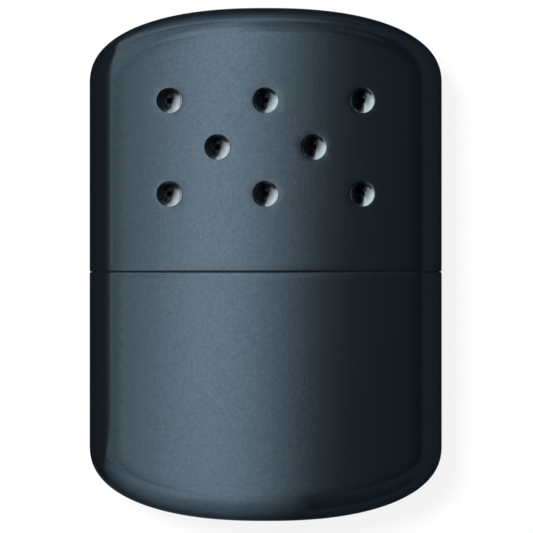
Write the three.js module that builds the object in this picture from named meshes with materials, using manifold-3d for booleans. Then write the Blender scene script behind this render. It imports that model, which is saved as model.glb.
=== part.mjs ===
// A catalytic hand warmer: a flat pocket case whose vented cap pulls off a fuel
// tank, and a burner that pulls off the tank's filler neck.
// Millimetres. The case lies on its back: +Y runs from the tank's domed end to
// the cap's, +Z leaves the front face, and the origin is under the middle of
// the case, on the surface it lies on.

import * as THREE from "three";
import { mergeVertices } from "three/addons/utils/BufferGeometryUtils.js";
import Module from "manifold-3d";

const wasm = await Module();
wasm.setup();

// Case
const caseWidth = 68;
const caseHeight = 99;
const caseThickness = 14;
const endDepth = 14.7; // length of each curved end
const endPowerShare = 2.33; // 2 makes an ellipse, more makes fuller corners
const edgeInset = 5.8; // how far in from the outline the rounded edge reaches
const faceFall = 1.6; // fall of each face from its middle strip to the case's sides
const flatShare = 0.35; // part of each face's width that its flat middle strip takes
const sheetWall = 0.4;
const seamHeight = 48.1; // from the tank's domed end to the seam
const seamGap = 0.3;

// Vents in both faces of the cap: dished holes in staggered rows
const ventRows = [3, 2, 3];
const ventRadius = 2.45;
const ventDepth = 0.6;
const ventOpeningRadius = 0.5;
const ventPitch = 9.14; // half the spacing of the holes in one row
const ventTopMargin = 18.35; // cap's end to the top row
const ventCollarMargin = 7.8; // collar's top to the lowest row

// Collar that the cap slides on
const collarWall = 0.4;
const collarRise = 7;
const collarDrop = 6;
const sleeveFit = 0.2; // gap from either shell to the collar
const gripRadius = 1.2;
const gripRise = 0.1;
const gripSpread = 30; // between the two grips on one face

// Deck that closes the tank
const deckLevel = 1.2; // deck's top above the seam
const deckWall = 0.5;
const deckFlange = 2.5;
const deckFit = 0.1;

// Filler neck
const neckLength = 31;
const neckWall = 0.4;
const neckRise = 5.5;
const neckDrop = 1.5;
const neckFit = 0.1;
const neckFlangeWidth = 1.2;
const neckFlangeWall = 0.4;

// Burner
const burnerVentGap = 1.7; // burner to the inward tips of the vents
const skirtWall = 0.35;
const skirtFit = 0.15; // skirt to the neck's flat sides
const skirtLip = 2.6; // skirt above its ledge, around the cage
const ledgeWidth = 1.3;
const cageHeight = 12.5;
const cageWall = 0.3;
const cageBend = 1.6;
const cageFit = 0.1;
const slotWidth = 1.5;
const slotHeight = 3.2;
const slotRowGap = 1.1;
const slotFootMargin = 2.9; // cage's foot to its lower row of slots
const topSlotLength = 3.6;
const slotColumns = 8;
const slotRows = 2;
const gauzeWall = 0.3;
const gauzePitch = 1.9;
const gauzeHole = 1.2;
const gauzeRim = 0.9;
const clothWall = 0.9;
const matFit = 0.15;
const pinRadius = 0.45;
const pinHeadRadius = 0.85;
const pinHeadWall = 0.3;
const pinFit = 0.1;
const pinEndMargin = 2.4; // pin's axis to the end of the cage's straight sides

// Spring clips that grip the neck's two ends
const clipWall = 0.25;
const clipWidth = 3.5;
const clipFit = 0.1;
const clipBow = 0.15;
const clipLeg = 3.2;

// Cotton packing
const wadCount = 3;
const wadFit = 0.3;

// Shared
const seatGap = 0.1; // between two pieces that rest on each other
const cutOverrun = 1; // how far a cutting solid passes the face it opens

// Facets
const endSteps = 34;
const roundSteps = 5;
const faceBreakShares = [flatShare, 0.65]; // where the faces' facets break, across the width
const breakEndShares = [0.94, 0.97]; // how far along the face those breaks run
const ventSides = 12;
const ventSteps = 3;
const ovalSteps = 8; // on each rounded end of an oval
const bendSteps = 3;
const roundSides = 12;

// Levels along Y
const seamLevel = seamHeight - caseHeight / 2;
const deckTop = seamLevel + deckLevel;
const deckBottom = deckTop - deckWall;
const neckTop = deckTop + neckRise;
const neckBottom = deckBottom - neckDrop;
const neckFlangeTop = deckTop + seatGap + neckFlangeWall;
const skirtBottom = neckFlangeTop + clipWall + 2 * clipFit;
const ledgeBottom = neckTop + seatGap;
const ledgeTop = ledgeBottom + skirtWall;
const gauzeBottom = ledgeTop + seatGap;
const gauzeTop = gauzeBottom + gauzeWall;
const cageBottom = gauzeTop + seatGap;
const cageTop = cageBottom + cageHeight;
const lipTop = ledgeTop + skirtLip;
const pinLevel = (cageBottom + lipTop) / 2;

// How far each nested skin lies inside the case's outer surface
const collarOffset = sheetWall + sleeveFit;
const deckOffset = collarOffset + collarWall + deckFit;

// Half thickness and half length of each nested oval, from the burner's inwards
const skirtHalf = caseThickness / 2 - sheetWall - ventDepth - burnerVentGap;
const skirtInnerHalf = skirtHalf - skirtWall;
const cageHalf = skirtInnerHalf - cageFit;
const clothHalf = cageHalf - cageWall - matFit;
const coreHalf = clothHalf - clothWall - matFit;
const neckHalf = skirtInnerHalf - skirtFit;
const clipSag = skirtInnerHalf - Math.sqrt(skirtInnerHalf ** 2 - (clipWidth / 2) ** 2);
const neckEnd = neckLength / 2;
const skirtInnerEnd = neckEnd + clipBow + clipWall + clipSag + 2 * clipFit;
const neckStraight = neckEnd - neckHalf;
const burnerStraight = skirtInnerEnd - skirtInnerHalf;

// Materials
const coated = new THREE.MeshStandardMaterial({ color: 0x2b3946, roughness: 0.42, metalness: 0.6 });
const nickel = new THREE.MeshStandardMaterial({ color: 0xc9c8c3, roughness: 0.25, metalness: 1 });
const steel = new THREE.MeshStandardMaterial({ color: 0xb4b2ac, roughness: 0.35, metalness: 1 });
const spring = new THREE.MeshStandardMaterial({ color: 0x8f8d88, roughness: 0.3, metalness: 1 });
const wire = new THREE.MeshStandardMaterial({ color: 0x86847e, roughness: 0.4, metalness: 1 });
const glassFibre = new THREE.MeshStandardMaterial({ color: 0x6f6c66, roughness: 0.95 });
const glassWool = new THREE.MeshStandardMaterial({ color: 0xd8d6ce, roughness: 1 });
const cotton = new THREE.MeshStandardMaterial({ color: 0xeeebe3, roughness: 1 });

// Joins closed rings of equal length into one closed surface. The rings run
// anticlockwise seen from the way they are stacked, and the two end ones are
// closed by fans about their middles.
function loftRings(rings) {
  const count = rings[0].length;
  const points = rings.flat();
  const faces = [];
  const middleOf = (ring) =>
    ring.reduce((sum, p) => sum.add(p), new THREE.Vector3()).divideScalar(count);
  const firstMiddle = points.push(middleOf(rings[0])) - 1;
  const lastMiddle = points.push(middleOf(rings.at(-1))) - 1;
  const lastRing = (rings.length - 1) * count;
  for (let i = 0; i < count; i++) {
    const next = (i + 1) % count;
    faces.push(firstMiddle, next, i);
    faces.push(lastMiddle, lastRing + i, lastRing + next);
    for (let start = 0; start < lastRing; start += count) {
      faces.push(start + i, start + next, start + count + next);
      faces.push(start + i, start + count + next, start + count + i);
    }
  }
  return new THREE.BufferGeometry().setFromPoints(points).setIndex(faces);
}

function solidOf(geometry) {
  const bare = geometry.clone();
  bare.deleteAttribute("normal");
  bare.deleteAttribute("uv");
  const merged = mergeVertices(bare);
  return new wasm.Manifold(
    new wasm.Mesh({
      numProp: 3,
      vertProperties: merged.attributes.position.array,
      triVerts: new Uint32Array(merged.index.array),
    }),
  );
}

function geometryOf(solid) {
  const { vertProperties, triVerts } = solid.getMesh();
  const geometry = new THREE.BufferGeometry();
  geometry.setAttribute("position", new THREE.BufferAttribute(vertProperties, 3));
  geometry.setIndex(new THREE.BufferAttribute(triVerts, 1));
  geometry.computeVertexNormals();
  return geometry;
}

function piece(name, solid, material) {
  const mesh = new THREE.Mesh(geometryOf(solid), material);
  mesh.name = name;
  return mesh;
}

// A block given by its lowest and highest corners.
function block(low, high) {
  const size = high.map((value, axis) => value - low[axis]);
  const middle = high.map((value, axis) => (value + low[axis]) / 2);
  return solidOf(new THREE.BoxGeometry(...size).translate(...middle));
}

// The part of a solid between two levels of Y.
function between(solid, low, high) {
  return solid.intersect(block([-caseWidth, low, -caseThickness], [caseWidth, high, caseThickness]));
}

const farDown = -caseHeight;
const farUp = caseHeight;

// The case's outline: points and outward directions, anticlockwise from the
// right side's top. Each end is half a superellipse and the sides are straight.
function outlineStations() {
  const halfWidth = caseWidth / 2;
  const sideTop = caseHeight / 2 - endDepth;
  const reach = 2 / endPowerShare;
  const end = [];
  for (let i = 0; i <= endSteps; i++) {
    const angle = (Math.PI * i) / endSteps;
    const across = Math.sign(Math.cos(angle)) * Math.abs(Math.cos(angle)) ** reach;
    const along = Math.abs(Math.sin(angle)) ** reach;
    const facing = new THREE.Vector2(
      (Math.sign(across) * Math.abs(across) ** (endPowerShare - 1)) / halfWidth,
      along ** (endPowerShare - 1) / endDepth,
    ).normalize();
    end.push({ at: new THREE.Vector2(halfWidth * across, sideTop + endDepth * along), facing });
  }
  const turned = end.map(({ at, facing }) => ({
    at: at.clone().negate(),
    facing: facing.clone().negate(),
  }));
  return [...end, ...turned];
}

const stations = outlineStations();

// The outline moved inwards by a distance, with a height for each point.
function outlineRing(inset, heightAt) {
  return stations.map(({ at, facing }) => {
    const x = at.x - inset * facing.x;
    return new THREE.Vector3(x, at.y - inset * facing.y, heightAt(x));
  });
}

// Height of a face over the case's middle plane, on the skin at an offset. It
// is flat along its middle strip and falls to both sides, the same at every y.
function faceHeight(x, offset) {
  const share = Math.abs(x) / (caseWidth / 2);
  const fall = Math.max(0, share ** 2 - flatShare ** 2) / (1 - flatShare ** 2);
  return caseThickness / 2 - faceFall * fall - offset;
}

// The whole case's shape, moved inwards by an offset: edges rounded all round
// into the two faces.
function caseSolid(offset) {
  const round = [];
  for (let i = -roundSteps; i <= roundSteps; i++) {
    const angle = ((Math.PI / 2) * i) / roundSteps;
    const inset = edgeInset - (edgeInset - offset) * Math.cos(angle);
    round.push(outlineRing(inset, (x) => faceHeight(x, offset) * Math.sin(angle)));
  }
  const faceReach = (caseWidth / 2 - edgeInset) / (caseWidth / 2);
  const face = (edge, side) =>
    faceBreakShares.map((share, i) =>
      edge.map((p) => {
        const x = (p.x * share) / faceReach;
        return new THREE.Vector3(x, p.y * breakEndShares[i], side * faceHeight(x, offset));
      }),
    );
  const back = face(round[0], -1);
  const front = face(round.at(-1), 1).reverse();
  return solidOf(loftRings([...back, ...round, ...front]));
}

// An upright oval plug: rounded ends about two points at plus and minus the
// straight half length, with its top edge bent over where a bend is given.
function ovalPlug(straight, half, low, high, bend = 0) {
  const ring = (radius, level) => {
    const points = [];
    for (const side of [1, -1]) {
      for (let i = 0; i <= ovalSteps; i++) {
        const angle = (Math.PI * i) / ovalSteps;
        points.push(
          new THREE.Vector3(
            side * (straight + radius * Math.sin(angle)),
            level,
            side * radius * Math.cos(angle),
          ),
        );
      }
    }
    return points;
  };
  const rings = [ring(half, low)];
  const steps = bend > 0 ? bendSteps : 0;
  for (let i = 0; i <= steps; i++) {
    const angle = steps ? ((Math.PI / 2) * i) / steps : 0;
    rings.push(ring(half - bend * (1 - Math.cos(angle)), high - bend * (1 - Math.sin(angle))));
  }
  return solidOf(loftRings(rings));
}

// A solid turned about Z from points of radius and height, which start and end on the axis.
function turned(profile, sides) {
  const points = profile.map(([radius, height]) => new THREE.Vector2(radius, height));
  return solidOf(new THREE.LatheGeometry(points, sides).rotateX(Math.PI / 2));
}

// A round lump or hollow of a sphere whose middle stands over the face.
const ventSphere = (ventRadius ** 2 + ventDepth ** 2) / (2 * ventDepth);

function ventBowl() {
  const middle = ventSphere - ventDepth;
  const first = Math.asin(ventOpeningRadius / ventSphere);
  const last = Math.acos((middle - sheetWall) / ventSphere);
  const profile = [[0, -ventDepth - sheetWall - cutOverrun]];
  profile.push([ventOpeningRadius, -ventDepth - sheetWall - cutOverrun]);
  for (let i = 0; i <= ventSteps; i++) {
    const angle = first + ((last - first) * i) / ventSteps;
    profile.push([ventSphere * Math.sin(angle), middle - ventSphere * Math.cos(angle)]);
  }
  profile.push([profile.at(-1)[0], cutOverrun]);
  profile.push([0, cutOverrun]);
  return turned(profile, ventSides);
}

function ventDish() {
  const middle = ventSphere - ventDepth;
  const radius = ventSphere + sheetWall;
  const last = Math.acos((middle + sheetWall / 2) / radius);
  const profile = [];
  for (let i = 0; i <= ventSteps; i++) {
    const angle = (last * i) / ventSteps;
    profile.push([radius * Math.sin(angle), middle - radius * Math.cos(angle)]);
  }
  profile.push([0, profile.at(-1)[1]]);
  return turned(profile, ventSides);
}

function ventPlaces() {
  const topRow = caseHeight / 2 - ventTopMargin;
  const lowestRow = seamLevel + collarRise + ventCollarMargin;
  return ventRows.flatMap((count, row) => {
    const y = topRow + ((lowestRow - topRow) * row) / (ventRows.length - 1);
    return Array.from({ length: count }, (_, i) => [ventPitch * (2 * i - count + 1), y]);
  });
}

// Puts a solid made for the front face on the front or, turned over, on the back.
function onFace(solid, x, y, offset, side) {
  const placed = solid.rotate(side > 0 ? [0, 0, 0] : [0, 180, 0]);
  return placed.translate([x, y, side * faceHeight(x, offset)]);
}

function capShell() {
  let shell = between(caseSolid(0), seamLevel + seamGap / 2, farUp).subtract(caseSolid(sheetWall));
  const dish = ventDish();
  const bowl = ventBowl();
  for (const side of [1, -1]) {
    for (const [x, y] of ventPlaces()) {
      shell = shell.add(onFace(dish, x, y, 0, side)).subtract(onFace(bowl, x, y, 0, side));
    }
  }
  return piece("cap_shell", shell, coated);
}

function bodyShell() {
  const shell = between(caseSolid(0), farDown, seamLevel - seamGap / 2);
  return piece("body_shell", shell.subtract(caseSolid(sheetWall)), coated);
}

// The collar's four pressed bumps, which the cap snaps over.
function gripBumps() {
  const sphere = (gripRadius ** 2 + gripRise ** 2) / (2 * gripRise);
  const base = Math.sqrt(sphere ** 2 - (sphere - gripRise - collarWall / 2) ** 2);
  const profile = [[0, -collarWall / 2], [base, -collarWall / 2], [gripRadius, 0], [0, gripRise]];
  const bump = turned(profile, roundSides);
  const level = seamLevel + collarRise / 2;
  return [1, -1].flatMap((side) =>
    [-gripSpread / 2, gripSpread / 2].map((x) => onFace(bump, x, level, collarOffset, side)),
  );
}

function collarSleeve() {
  let sleeve = between(caseSolid(collarOffset), seamLevel - collarDrop, seamLevel + collarRise);
  sleeve = sleeve.subtract(caseSolid(collarOffset + collarWall));
  for (const bump of gripBumps()) sleeve = sleeve.add(bump);
  return piece("collar_sleeve", sleeve, nickel);
}

function tankDeck() {
  const tray = between(caseSolid(deckOffset), deckBottom, deckTop + deckFlange);
  const hollow = between(caseSolid(deckOffset + deckWall), deckTop, farUp);
  const hole = ovalPlug(neckStraight, neckHalf + neckFit, farDown, farUp);
  return piece("tank_deck", tray.subtract(hollow).subtract(hole), nickel);
}

function fillerNeck() {
  const tube = ovalPlug(neckStraight, neckHalf, neckBottom, neckTop);
  const flangeHalf = neckHalf + neckFlangeWidth;
  const flange = ovalPlug(neckStraight, flangeHalf, deckTop + seatGap, neckFlangeTop);
  const bore = ovalPlug(neckStraight, neckHalf - neckWall, farDown, farUp);
  return piece("filler_neck", tube.add(flange).subtract(bore), nickel);
}

function cottonWads() {
  const packing = caseSolid(deckOffset + wadFit);
  const bottom = sheetWall + wadFit - caseHeight / 2;
  const top = neckBottom - wadFit;
  const height = (top - bottom - (wadCount - 1) * wadFit) / wadCount;
  return Array.from({ length: wadCount }, (_, i) => {
    const low = i ? bottom + i * (height + wadFit) : farDown;
    const high = bottom + i * (height + wadFit) + height;
    return piece(`cotton_wad_${i + 1}`, between(packing, low, high), cotton);
  });
}

// Cylinders through the burner's two flat sides, for the pins and their holes.
function pinPlaces() {
  const x = burnerStraight - pinEndMargin;
  return { left: -x, right: x };
}

function pinHoles() {
  const half = skirtHalf + cutOverrun;
  const radius = pinRadius + pinFit;
  const hole = turned([[0, -half], [radius, -half], [radius, half], [0, half]], roundSides);
  return Object.values(pinPlaces()).map((x) => hole.translate([x, pinLevel, 0]));
}

function withPinHoles(solid) {
  return pinHoles().reduce((cut, hole) => cut.subtract(hole), solid);
}

function burnerSkirt() {
  const wall = ovalPlug(burnerStraight, skirtHalf, skirtBottom, lipTop);
  const below = ovalPlug(burnerStraight, skirtInnerHalf, farDown, ledgeBottom);
  const above = ovalPlug(burnerStraight, skirtInnerHalf, ledgeTop, farUp);
  const throat = ovalPlug(burnerStraight, skirtInnerHalf - ledgeWidth, farDown, farUp);
  const skirt = wall.subtract(below).subtract(above).subtract(throat);
  return piece("burner_skirt", withPinHoles(skirt), steel);
}

function gauzeScreen() {
  const half = skirtInnerHalf - cageFit;
  const plate = ovalPlug(burnerStraight, half, gauzeBottom, gauzeTop);
  const field = half - gauzeRim - gauzeHole / 2;
  const columns = Math.floor((burnerStraight + field) / gauzePitch);
  const rows = Math.floor(field / gauzePitch);
  const holes = [];
  for (let column = -columns; column <= columns; column++) {
    for (let row = -rows; row <= rows; row++) {
      const [x, z] = [column * gauzePitch, row * gauzePitch];
      const pastEnd = Math.max(0, Math.abs(x) - burnerStraight);
      if (Math.hypot(pastEnd, z) > field) continue;
      const low = [x - gauzeHole / 2, gauzeBottom - cutOverrun, z - gauzeHole / 2];
      const high = [x + gauzeHole / 2, gauzeTop + cutOverrun, z + gauzeHole / 2];
      holes.push(block(low, high));
    }
  }
  return piece("gauze_screen", plate.subtract(wasm.Manifold.union(holes)), wire);
}

// A shell of the burner's domed oval shape, open at its foot.
function ovalCover(half, wall, low, high, bend) {
  const outside = ovalPlug(burnerStraight, half, low, high, bend);
  const hollow = ovalPlug(burnerStraight, half - wall, farDown, high - wall, bend - wall);
  return outside.subtract(hollow);
}

function cageSlots() {
  const slots = [];
  const pitch = (2 * burnerStraight) / slotColumns;
  const reach = skirtHalf + cutOverrun;
  for (let column = 0; column < slotColumns; column++) {
    const x = (column + 1 / 2) * pitch - burnerStraight;
    const [left, right] = [x - slotWidth / 2, x + slotWidth / 2];
    for (let row = 0; row < slotRows; row++) {
      const low = cageBottom + slotFootMargin + row * (slotHeight + slotRowGap);
      slots.push(block([left, low, -reach], [right, low + slotHeight, reach]));
    }
    const top = [cageTop - cageBend, cageTop + cutOverrun];
    slots.push(block([left, top[0], -topSlotLength / 2], [right, top[1], topSlotLength / 2]));
  }
  return wasm.Manifold.union(slots);
}

// The cage: a slotted strip bent over the burner, and a rounded plate at each end.
function burnerCage() {
  const cover = ovalCover(cageHalf, cageWall, cageBottom, cageTop, cageBend);
  const joint = burnerStraight - cageFit / 2;
  const reach = 2 * (burnerStraight + cageHalf);
  const span = (left, right) =>
    cover.intersect(block([left, farDown, -cageHalf * 2], [right, farUp, cageHalf * 2]));
  const endSlotLow = cageBottom + slotFootMargin;
  const endSlotHigh = endSlotLow + slotRows * slotHeight + (slotRows - 1) * slotRowGap;
  const endSlot = block([-reach, endSlotLow, -slotWidth / 2], [reach, endSlotHigh, slotWidth / 2]);
  const wrap = withPinHoles(span(-joint, joint)).subtract(cageSlots());
  return [
    piece("cage_wrap", wrap, steel),
    piece("cage_end_left", span(-reach, -joint - cageFit).subtract(endSlot), steel),
    piece("cage_end_right", span(joint + cageFit, reach).subtract(endSlot), steel),
  ];
}

// The platinum-coated glass cloth inside the cage, and the glass wool it covers.
function catalyst() {
  const clothTop = cageTop - cageWall - matFit;
  const clothBend = cageBend - cageWall;
  const clothBottom = cageBottom + seatGap;
  const coreTop = clothTop - clothWall - matFit;
  const cloth = ovalCover(clothHalf, clothWall, clothBottom, clothTop, clothBend);
  const core = ovalPlug(burnerStraight, coreHalf, clothBottom, coreTop, clothBend - clothWall);
  return [
    piece("catalyst_cloth", withPinHoles(cloth), glassFibre),
    piece("glass_wool_core", withPinHoles(core), glassWool),
  ];
}

// Cross pins that hold the cage in the skirt and the catalyst in the cage.
function crossPins() {
  const shank = skirtHalf + seatGap;
  const end = shank + pinHeadWall;
  const profile = [[0, -end], [pinHeadRadius, -end], [pinHeadRadius, -shank], [pinRadius, -shank]];
  const other = profile.map(([radius, height]) => [radius, -height]).reverse();
  const pin = turned([...profile, ...other], roundSides);
  return Object.entries(pinPlaces()).map(([side, x]) =>
    piece(`cross_pin_${side}`, pin.translate([x, pinLevel, 0]), steel),
  );
}

// Leaf springs hooked over the skirt's foot at each end, bowed in to the neck.
function gripClips() {
  const outerFace = skirtInnerEnd + skirtWall + clipFit;
  const innerFace = skirtInnerEnd - clipSag - clipFit;
  const hookTop = skirtBottom - clipFit;
  const hookBottom = hookTop - clipWall;
  const legTop = skirtBottom + clipLeg;
  const bowMiddle = (hookTop + legTop) / 2;
  const shape = new THREE.Shape();
  shape.moveTo(outerFace, legTop);
  shape.lineTo(outerFace, hookTop);
  shape.lineTo(innerFace, hookTop);
  shape.quadraticCurveTo(innerFace - 2 * clipBow, bowMiddle, innerFace, legTop);
  shape.lineTo(innerFace - clipWall, legTop);
  shape.quadraticCurveTo(innerFace - clipWall - 2 * clipBow, bowMiddle, innerFace - clipWall, hookBottom);
  shape.lineTo(outerFace + clipWall, hookBottom);
  shape.lineTo(outerFace + clipWall, legTop);
  const options = { depth: clipWidth, bevelEnabled: false, curveSegments: bendSteps * 2 };
  const geometry = new THREE.ExtrudeGeometry(shape, options).translate(0, 0, -clipWidth / 2);
  const clip = solidOf(geometry);
  return [
    piece("grip_clip_right", clip, spring),
    piece("grip_clip_left", clip.rotate([0, 180, 0]), spring),
  ];
}

const handWarmer = new THREE.Group();
handWarmer.position.set(0, 0, caseThickness / 2);
handWarmer.add(capShell(), bodyShell(), collarSleeve(), tankDeck(), fillerNeck(), ...cottonWads());

const burner = new THREE.Group();
burner.add(burnerSkirt(), gauzeScreen(), ...burnerCage(), ...catalyst(), ...crossPins(), ...gripClips());
handWarmer.add(burner);

export default handWarmer;
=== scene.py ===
import math

import bmesh
import bpy
import numpy as np
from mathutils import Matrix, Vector, noise
from mathutils.geometry import delaunay_2d_cdt


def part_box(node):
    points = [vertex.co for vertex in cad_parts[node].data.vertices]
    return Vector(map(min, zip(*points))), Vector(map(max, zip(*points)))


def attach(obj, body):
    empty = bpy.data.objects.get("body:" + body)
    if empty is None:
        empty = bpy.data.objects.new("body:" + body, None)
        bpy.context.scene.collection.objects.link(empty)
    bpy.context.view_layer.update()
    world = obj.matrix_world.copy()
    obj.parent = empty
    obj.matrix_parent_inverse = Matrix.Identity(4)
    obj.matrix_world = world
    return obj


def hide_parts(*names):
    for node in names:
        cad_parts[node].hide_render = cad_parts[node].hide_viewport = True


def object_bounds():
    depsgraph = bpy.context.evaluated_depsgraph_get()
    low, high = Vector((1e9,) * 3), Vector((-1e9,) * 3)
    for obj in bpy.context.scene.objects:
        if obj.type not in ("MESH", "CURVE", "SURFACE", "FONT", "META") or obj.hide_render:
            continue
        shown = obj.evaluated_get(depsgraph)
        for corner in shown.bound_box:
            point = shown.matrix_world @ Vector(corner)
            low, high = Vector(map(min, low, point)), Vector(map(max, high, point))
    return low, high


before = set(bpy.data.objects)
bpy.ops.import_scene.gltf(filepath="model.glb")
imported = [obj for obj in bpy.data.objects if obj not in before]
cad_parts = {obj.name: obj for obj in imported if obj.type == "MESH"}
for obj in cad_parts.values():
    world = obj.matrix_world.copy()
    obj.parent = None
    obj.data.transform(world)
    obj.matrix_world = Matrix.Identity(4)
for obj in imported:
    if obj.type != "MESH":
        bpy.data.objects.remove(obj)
cad_low, cad_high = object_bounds()

MM = 0.001

# The case: the same sizes as the solids, and the rest from their boxes
END_DEPTH = 14.7 * MM
END_POWER = 2.33
EDGE_INSET = 5.8 * MM
FACE_FALL = 1.6 * MM
SHEET_WALL = 0.4 * MM
HALF_WIDTH = (cad_high.x - cad_low.x) / 2
HALF_LENGTH = (cad_high.y - cad_low.y) / 2
HALF_THICK = (cad_high.z - cad_low.z) / 2
MIDDLE = Vector((0, 0, HALF_THICK))
SIDE_TOP = HALF_LENGTH - END_DEPTH
FACE_LIMIT = HALF_WIDTH - EDGE_INSET
SEAM_GAP = 0.13 * MM
SEAM_LEVEL = (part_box("cap_shell")[0].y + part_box("body_shell")[1].y) / 2
SEAM_CAP = SEAM_LEVEL + SEAM_GAP / 2
SEAM_BODY = SEAM_LEVEL - SEAM_GAP / 2

# The sheet's rounded rims: their reach at the seam and at the vents' openings, and
# the share of the wall that the outer curve takes
SEAM_RIM = 0.26 * MM
HOLE_RIM = 0.12 * MM
RIM_SPLIT = 0.6

# Vents: a rolled rim and a round bowl with an opening in its middle. The coating
# covers the rim's curve up to a share of its width.
VENT_PITCH = 9.14 * MM
VENT_ROWS = ((3, 31.15 * MM), (2, 22.275 * MM), (3, 13.4 * MM))
VENTS = [(VENT_PITCH * (2 * i - count + 1), y) for count, y in VENT_ROWS for i in range(count)]
VENT_RIM = 2.56 * MM
VENT_FILLET = 0.5 * MM
VENT_TILT = math.radians(34)
VENT_OPENING = 0.5 * MM
VENT_HOLE = VENT_OPENING + HOLE_RIM
COAT_LAP = 0.75
BARE_EDGE = VENT_RIM - VENT_FILLET * math.sin(VENT_TILT) * COAT_LAP

# Painted shade in the vents' bowls spreads further above a vent's middle, and in a
# narrow band below it that leans to the left, both as shares of the vent's radius
PAINTED_SHADE_ABOVE = 0.45
SHADE_ABOVE_POWER = 2
PAINTED_SHADE_BELOW = 0.45
SHADE_BELOW_POWER = 5
SHADE_BELOW_LEAN = math.radians(15)

# How finely the visual pieces are cut
SIDE_ROWS = 16
END_STATIONS = 110
ROUND_STEPS = 12
BOWL_RINGS = 8
FILLET_RINGS = 6
VENT_SIDES = 44
RIM_STEPS = 4
FACE_GRID = 1.35 * MM
GRID_CLEAR = FACE_GRID * 0.45
LOOP_POINTS = 132
LOOP_EDGE_CUTS = 24
LOOP_FACE_CUTS = 60
CORNER_STEPS = 3
WELD = 0.001 * MM
CREASE_ANGLE = math.radians(32)


def mesh_object(name, points, faces, smooth=True):
    mesh = bpy.data.meshes.new(name)
    mesh.from_pydata([tuple(p) for p in points], [], [tuple(f) for f in faces])
    mesh.validate()
    if smooth:
        mesh.shade_smooth()
    mesh.update()
    return linked(name, mesh)


def linked(name, data):
    made = bpy.data.objects.new(name, data)
    bpy.context.scene.collection.objects.link(made)
    return made


def arc(steps, first=0):
    """Angles up to a quarter turn, in even steps."""
    return [math.pi / 2 * i / steps for i in range(first, steps + 1)]


def circle(x, y, radius, sides):
    angles = [2 * math.pi * i / sides for i in range(sides)]
    return [(x + radius * math.cos(angle), y + radius * math.sin(angle)) for angle in angles]


def band(a, b, count):
    """Faces between two closed rings of points that start at a and at b."""
    pairs = [(i, (i + 1) % count) for i in range(count)]
    return [(a + i, a + j, b + j, b + i) for i, j in pairs]


def stack(x, y, profile, sides):
    """Points and side faces of a stack of circles, given by radius and height."""
    points, faces = [], []
    for radius, height in profile:
        points += [(*point, height) for point in circle(x, y, radius, sides)]
    for start in range(0, len(points) - sides, sides):
        faces += band(start + sides, start, sides)
    return points, faces


def retouch(made, weld=False, turn=False):
    """Joins a mesh's doubled points, and turns its faces outwards."""
    shape = bmesh.new()
    shape.from_mesh(made.data)
    if weld:
        bmesh.ops.remove_doubles(shape, verts=shape.verts, dist=WELD)
    if turn:
        bmesh.ops.recalc_face_normals(shape, faces=shape.faces)
    shape.to_mesh(made.data)
    shape.free()
    return made


def stands_for(made, node, slot, body, *materials):
    """Dresses a piece in its materials, hides the solid that it replaces and hangs the piece on
    its body.
    """
    made.data.materials.clear()
    for material in materials:
        made.data.materials.append(material)
    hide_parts(node)
    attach(made, body)


# Materials


def nodes_of(name):
    made = bpy.data.materials.new(name)
    made.use_nodes = True
    tree = made.node_tree
    return made, tree, tree.nodes["Principled BSDF"]


def feed(tree, node, values):
    """Gives a node's inputs and settings values, or links its inputs to sockets."""
    for key, value in values.items():
        if isinstance(value, bpy.types.NodeSocket):
            tree.links.new(value, node.inputs[key])
        elif isinstance(key, int) or key in node.inputs:
            node.inputs[key].default_value = value
        else:
            setattr(node, key, value)
    return node


def add(tree, kind, **values):
    return feed(tree, tree.nodes.new(kind), values)


def calc(tree, operation, *terms, clamp=False):
    """One sum on sockets and plain numbers."""
    node = add(tree, "ShaderNodeMath", operation=operation, use_clamp=clamp)
    return feed(tree, node, dict(enumerate(terms))).outputs[0]


def place(tree, stretch=(1, 1, 1)):
    """Where a point lies on the object, in metres, with each axis stretched."""
    coords = add(tree, "ShaderNodeTexCoord").outputs["Object"]
    return add(tree, "ShaderNodeMapping", Scale=stretch, Vector=coords).outputs["Vector"]


def along(tree, axis):
    """How far along an axis a point lies, in metres."""
    return add(tree, "ShaderNodeSeparateXYZ", Vector=place(tree)).outputs[axis]


def mottle(tree, size, detail=3.0, roughness=0.55, stretch=(1, 1, 1)):
    """Soft noise from 0 to 1, whose lumps are about the given size in metres."""
    values = {"Scale": 1 / size, "Detail": detail, "Roughness": roughness}
    return add(tree, "ShaderNodeTexNoise", Vector=place(tree, stretch), **values).outputs["Fac"]


def ramp(tree, fac, *stops):
    """A colour that runs through stops of a position and a colour with fac."""
    node = add(tree, "ShaderNodeValToRGB", Fac=fac)
    for position, _ in stops[1:-1]:
        node.color_ramp.elements.new(position)
    for element, (position, colour) in zip(node.color_ramp.elements, stops):
        element.position = position
        element.color = (*colour, 1)
    return node.outputs["Color"]


def between(tree, fac, low, high, at=(0.3, 0.7)):
    """A value or a colour that runs from low to high with fac."""
    if isinstance(low, tuple):
        return ramp(tree, fac, (at[0], low), (at[1], high))
    values = {"Value": fac, "From Min": at[0], "From Max": at[1], "To Min": low, "To Max": high}
    return add(tree, "ShaderNodeMapRange", **values).outputs["Result"]


def bump(tree, height, strength, distance=0.01 * MM):
    values = {"Height": height, "Strength": strength, "Distance": distance}
    return add(tree, "ShaderNodeBump", **values).outputs["Normal"]


def surface(tree, shader, colour, roughness, normal, more):
    values = {"Base Color": colour, "Roughness": roughness, "Normal": normal}
    feed(tree, shader, values | more)


def varied_material(name, colours, shine, lumps, relief, more):
    """A surface whose colour, roughness and relief vary softly. Its relief has a
    size, a strength and a distance."""
    made, tree, shader = nodes_of(name)
    size, strength, distance = relief
    colour = between(tree, mottle(tree, lumps), *colours)
    roughness = between(tree, mottle(tree, lumps * 0.6), *shine)
    normal = bump(tree, mottle(tree, size, detail=2.0), strength, distance)
    surface(tree, shader, colour, roughness, normal, more)
    return made


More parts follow.
